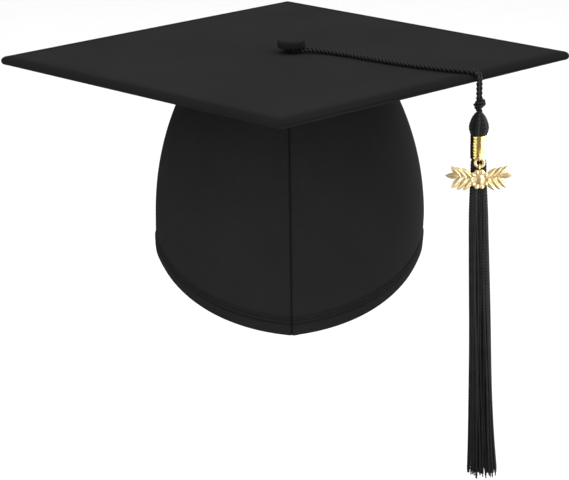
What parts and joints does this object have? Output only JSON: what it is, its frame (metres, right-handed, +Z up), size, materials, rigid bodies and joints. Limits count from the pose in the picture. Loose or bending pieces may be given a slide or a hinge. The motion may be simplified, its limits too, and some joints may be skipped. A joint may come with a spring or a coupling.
{
  "type": "graduation cap",
  "caption": "Black square academic cap: cloth-covered board on a seamed, pointed skull cap, with a covered button, a corded tassel with metal ferrule, and a hanging leaf charm.",
  "frame": {"origin": "middle of the head opening, level with the lower edge over the ears", "axes": "+Z up through the board; the wearer faces -Y; a board corner points along each of -Y, +Y, -X and +X"},
  "size_m": [0.338, 0.338, 0.2525],
  "materials": {
    "cap_cloth": "matte twill",
    "board_stiffener": "raw chipboard",
    "lining_cloth": "soft",
    "seam_tape": "matte",
    "band_cloth": "ribbed",
    "elastic": "ribbed",
    "label_satin": "satin",
    "button_tin": "black lacquer",
    "steel": "satin",
    "yarn": "rayon twist",
    "gold_metal": "bright",
    "charm_metal": "pale bright"
  },
  "bodies": {
    "cap": {"board_core": "board_stiffener", "board_top_cover": "cap_cloth", "board_under_cover": "cap_cloth", "crown_panel_left": "cap_cloth", "crown_panel_right": "cap_cloth", "crown_tip": "cap_cloth", "lining_left": "lining_cloth", "lining_right": "lining_cloth", "front_seam_tape": "seam_tape", "back_seam_tape": "seam_tape", "hem_facing_left": "cap_cloth", "hem_facing_right": "cap_cloth", "sweatband": "band_cloth", "back_elastic": "elastic", "size_label": "label_satin", "board_grommet": "steel"},
    "button_stem": {"button_post": "button_tin", "button_clip": "steel"},
    "button_head": {"button_shell": "button_tin", "button_cloth": "cap_cloth", "button_back": "button_tin"},
    "tassel_arm": {"tassel_loop": "yarn"},
    "tassel_cord": {"tassel_drop": "yarn", "tassel_knot": "yarn"},
    "tassel": {"tassel_head": "yarn", "ferrule": "gold_metal", "ferrule_eye": "gold_metal"},
    "jump_ring": {"charm_ring": "charm_metal"},
    "charm_spray": {"charm": "charm_metal"},
    "tassel_fringe": {"fringe": "yarn"}
  },
  "joints": [
    {"name": "button_lift", "type": "slide", "parent": "cap", "child": "button_stem", "axis": [0, 0, 1], "range_m": [0, 0.0025]},
    {"name": "button_turn", "type": "hinge", "parent": "button_stem", "child": "button_head", "pos_m": [0.004, 0.006, 0.124], "axis": [0, 0, 1], "continuous": true},
    {"name": "tassel_swivel", "type": "hinge", "parent": "cap", "child": "tassel_arm", "pos_m": [0.004, 0.006, 0.1213], "axis": [0, 0, 1], "range_deg": [-25, 0]},
    {"name": "tassel_swing", "type": "hinge", "parent": "tassel_arm", "child": "tassel_cord", "pos_m": [0.1117, -0.0604, 0.113], "axis": [-0.7071, -0.7071, 0], "range_deg": [-8, 75]},
    {"name": "tassel_sway", "type": "hinge", "parent": "tassel_cord", "child": "tassel", "pos_m": [0.1117, -0.0604, 0.0964], "axis": [0.7071, -0.7071, 0], "range_deg": [-20, 20]},
    {"name": "fringe_bend", "type": "hinge", "parent": "tassel", "child": "tassel_fringe", "pos_m": [0.1117, -0.0604, 0.0644], "axis": [0, 1, 0], "range_deg": [-20, 20]},
    {"name": "ring_swing", "type": "hinge", "parent": "tassel", "child": "jump_ring", "pos_m": [0.1117, -0.0677, 0.0709], "axis": [0, 1, 0], "range_deg": [-30, 30]},
    {"name": "charm_tilt", "type": "hinge", "parent": "jump_ring", "child": "charm_spray", "pos_m": [0.1117, -0.0677, 0.06735], "axis": [-1, 0, 0], "range_deg": [0, 60]}
  ]
}
